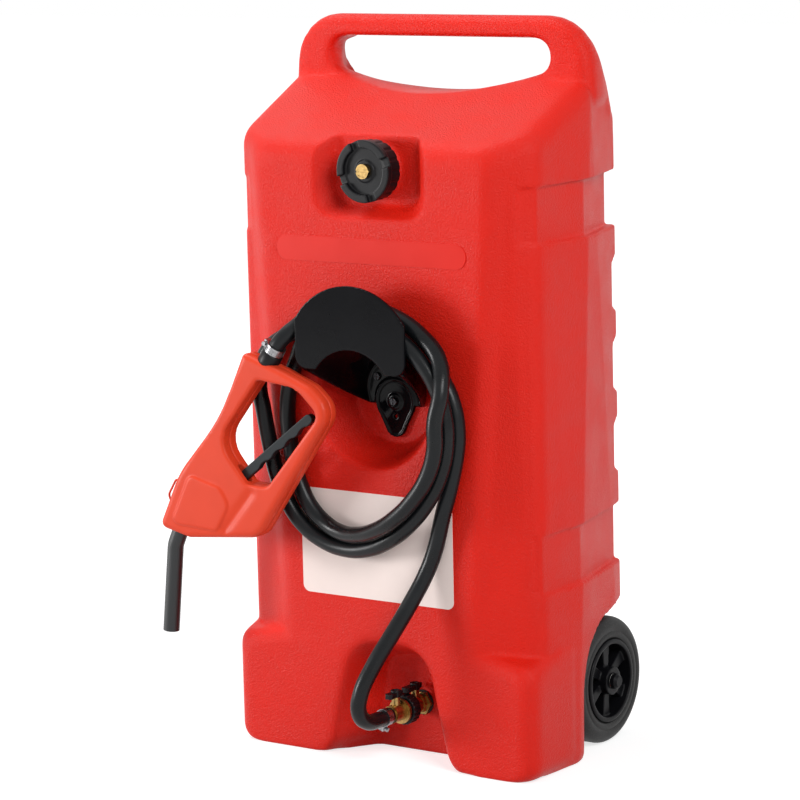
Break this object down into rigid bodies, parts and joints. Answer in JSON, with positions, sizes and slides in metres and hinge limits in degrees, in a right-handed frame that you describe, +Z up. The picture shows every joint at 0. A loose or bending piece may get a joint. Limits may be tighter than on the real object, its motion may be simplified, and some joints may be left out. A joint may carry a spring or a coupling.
{
  "type": "fuel caddy",
  "caption": "Upright wheeled fuel tank with a carrying handle, screw filler cap, coiled hose on a front hanger, ball valves at the foot and a trigger nozzle.",
  "frame": {"origin": "on the floor, on the tank's flat underside, under the middle of the tank", "axes": "+Z up, +X to the right seen from the front, front towards -Y"},
  "size_m": [0.4923, 0.3644, 0.864],
  "materials": {
    "tank_red": "grained moulding",
    "nozzle_red": "satin moulding",
    "gloss_black": "polished moulding",
    "black_plastic": "satin moulding",
    "grey_plastic": "satin moulding",
    "white_plastic": "natural",
    "hose_rubber": "smooth",
    "seal_rubber": "smooth",
    "tyre": "semi-pneumatic",
    "brass": "machined",
    "steel": "zinc plated"
  },
  "bodies": {
    "caddy": {"tank_shell": "tank_red", "hose_hanger": "gloss_black", "hanger_screws": "steel", "axle": "steel", "axle_washers": "steel", "axle_caps": "grey_plastic", "outlet_gasket": "seal_rubber", "outlet_fitting": "brass", "tank_valve_body": "brass", "tank_valve_seats": "white_plastic", "coupling_washer": "seal_rubber", "hose_valve_body": "brass", "hose_valve_seats": "white_plastic", "hose_barb": "brass", "outlet_hose_clamp": "steel", "hose_riser": "hose_rubber", "hose_coil": "hose_rubber", "hose_drop": "hose_rubber", "nozzle_hose_barb": "brass", "nozzle_hose_clamp": "steel", "nozzle_front_shell": "nozzle_red", "nozzle_rear_shell": "nozzle_red", "nozzle_screws": "steel", "trigger_pin": "steel", "trigger_spring": "steel", "valve_cartridge": "white_plastic", "plunger_spring": "steel", "spout": "black_plastic", "spout_nut": "black_plastic"},
    "left_wheel": {"left_tyre": "tyre", "left_rim": "black_plastic", "left_bush": "white_plastic"},
    "right_wheel": {"right_tyre": "tyre", "right_rim": "black_plastic", "right_bush": "white_plastic"},
    "cap_seal": {"cap_gasket": "seal_rubber"},
    "cap": {"filler_cap": "black_plastic", "cap_vent_plug": "brass"},
    "tank_valve": {"tank_valve_ball": "steel", "tank_valve_stem": "brass", "tank_valve_handle": "grey_plastic"},
    "hose_valve": {"hose_valve_ball": "steel", "hose_valve_stem": "brass", "hose_valve_handle": "grey_plastic"},
    "coupling": {"coupling_nut": "brass", "coupling_grip": "black_plastic"},
    "trigger": {"nozzle_trigger": "grey_plastic"},
    "plunger": {"valve_plunger": "grey_plastic", "plunger_seal": "seal_rubber"}
  },
  "joints": [
    {"name": "left_wheel_spin", "type": "hinge", "parent": "caddy", "child": "left_wheel", "pos_m": [-0.175, 0.076, 0.076], "axis": [1, 0, 0], "continuous": true},
    {"name": "right_wheel_spin", "type": "hinge", "parent": "caddy", "child": "right_wheel", "pos_m": [0.175, 0.076, 0.076], "axis": [1, 0, 0], "continuous": true},
    {"name": "cap_lift", "type": "slide", "parent": "caddy", "child": "cap_seal", "axis": [0, -1, 0], "range_m": [0, 0.0101]},
    {"name": "cap_turn", "type": "hinge", "parent": "cap_seal", "child": "cap", "pos_m": [0, -0.12, 0.695], "axis": [0, -1, 0], "range_deg": [0, 720]},
    {"name": "tank_valve_turn", "type": "hinge", "parent": "caddy", "child": "tank_valve", "pos_m": [0.02, -0.08499, 0.061], "axis": [0, 0, 1], "range_deg": [0, 90]},
    {"name": "hose_valve_turn", "type": "hinge", "parent": "caddy", "child": "hose_valve", "pos_m": [0.02, -0.12497, 0.061], "axis": [0, 0, 1], "range_deg": [0, 90]},
    {"name": "coupling_spin", "type": "hinge", "parent": "caddy", "child": "coupling", "pos_m": [0.02, -0.1, 0.061], "axis": [0, -1, 0], "continuous": true},
    {"name": "trigger_pull", "type": "hinge", "parent": "caddy", "child": "trigger", "pos_m": [-0.165, -0.172, 0.327], "axis": [0, -1, 0], "range_deg": [0, 18], "stiffness_Nm_per_rad": 0.3, "springref_deg": -22.92},
    {"name": "plunger_push", "type": "slide", "parent": "caddy", "child": "plunger", "axis": [0, 0, -1], "range_m": [0, 0.0046], "deforming": ["plunger_spring"]}
  ],
  "couplings": [
    {"joint": "cap_lift", "follows": "cap_turn", "m_per_rad": 0.00079577},
    {"joint": "plunger_push", "follows": "trigger_pull", "m_per_rad": 0.0143}
  ]
}
